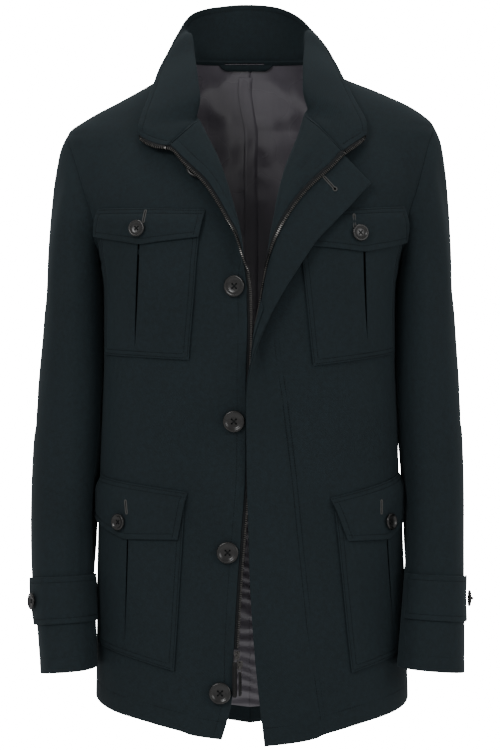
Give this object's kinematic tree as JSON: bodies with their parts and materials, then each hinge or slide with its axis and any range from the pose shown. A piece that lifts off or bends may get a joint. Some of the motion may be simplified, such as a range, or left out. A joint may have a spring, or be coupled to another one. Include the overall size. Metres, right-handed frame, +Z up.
{
  "type": "field jacket",
  "caption": "Hollow cloth field jacket worn open, with turned-out lapels, a stand collar, flap pockets, cuff straps and a front zip with hinged pulls.",
  "frame": {"origin": "inside the jacket, midway between the two shoulder seams at the side of the neck, where the wearer's shoulders carry it", "axes": "+Z up, -Y out of the front, +X to the wearer's left"},
  "size_m": [0.526, 0.2693, 0.886],
  "materials": {
    "shell_cloth": "matte brushed wool, near black with a green-blue cast",
    "lining_satin": "glossy dark grey satin",
    "button_horn": "satin black horn",
    "zip_tape": "matte black tape with dark metal teeth",
    "zip_metal": "dark nickel",
    "pull_leather": "black leather tab on a metal link"
  },
  "bodies": {
    "garment": {"front_right": "shell_cloth", "front_left": "shell_cloth", "back_right": "shell_cloth", "back_left": "shell_cloth", "facing_right": "shell_cloth", "facing_left": "shell_cloth", "fly_lining_left": "shell_cloth", "fly_band_left": "shell_cloth", "collar_outer": "shell_cloth", "collar_inner": "shell_cloth", "sleeve_right_top": "shell_cloth", "sleeve_right_under": "shell_cloth", "sleeve_left_top": "shell_cloth", "sleeve_left_under": "shell_cloth", "cuff_strap_right": "shell_cloth", "cuff_strap_left": "shell_cloth", "chest_pocket_right": "shell_cloth", "chest_flap_right": "shell_cloth", "chest_pocket_left": "shell_cloth", "chest_flap_left": "shell_cloth", "lower_pocket_right": "shell_cloth", "lower_flap_right": "shell_cloth", "lower_pocket_left": "shell_cloth", "lower_flap_left": "shell_cloth", "hanger_patch": "shell_cloth", "lining_back_right": "lining_satin", "lining_back_left": "lining_satin", "button_front_1": "button_horn", "button_front_2": "button_horn", "button_front_3": "button_horn", "button_front_4": "button_horn", "button_front_5": "button_horn", "button_chest_right": "button_horn", "button_chest_left": "button_horn", "button_lower_right": "button_horn", "button_lower_left": "button_horn", "button_cuff_right": "button_horn", "button_cuff_left": "button_horn", "zip_tape_right": "zip_tape", "zip_tape_left": "zip_tape", "zip_slider_upper": "zip_metal", "zip_slider_lower": "zip_metal"},
    "pull_upper": {"zip_pull_upper": "pull_leather"},
    "pull_lower": {"zip_pull_lower": "pull_leather"}
  },
  "joints": [
    {"name": "upper_pull_swing", "type": "hinge", "parent": "garment", "child": "pull_upper", "pos_m": [-0.01565, -0.1301, -0.694], "axis": [-1, 0, 0], "range_deg": [0, 120]},
    {"name": "lower_pull_swing", "type": "hinge", "parent": "garment", "child": "pull_lower", "pos_m": [-0.0117, -0.1301, -0.7054], "axis": [-1, 0, 0], "range_deg": [0, 120]}
  ]
}
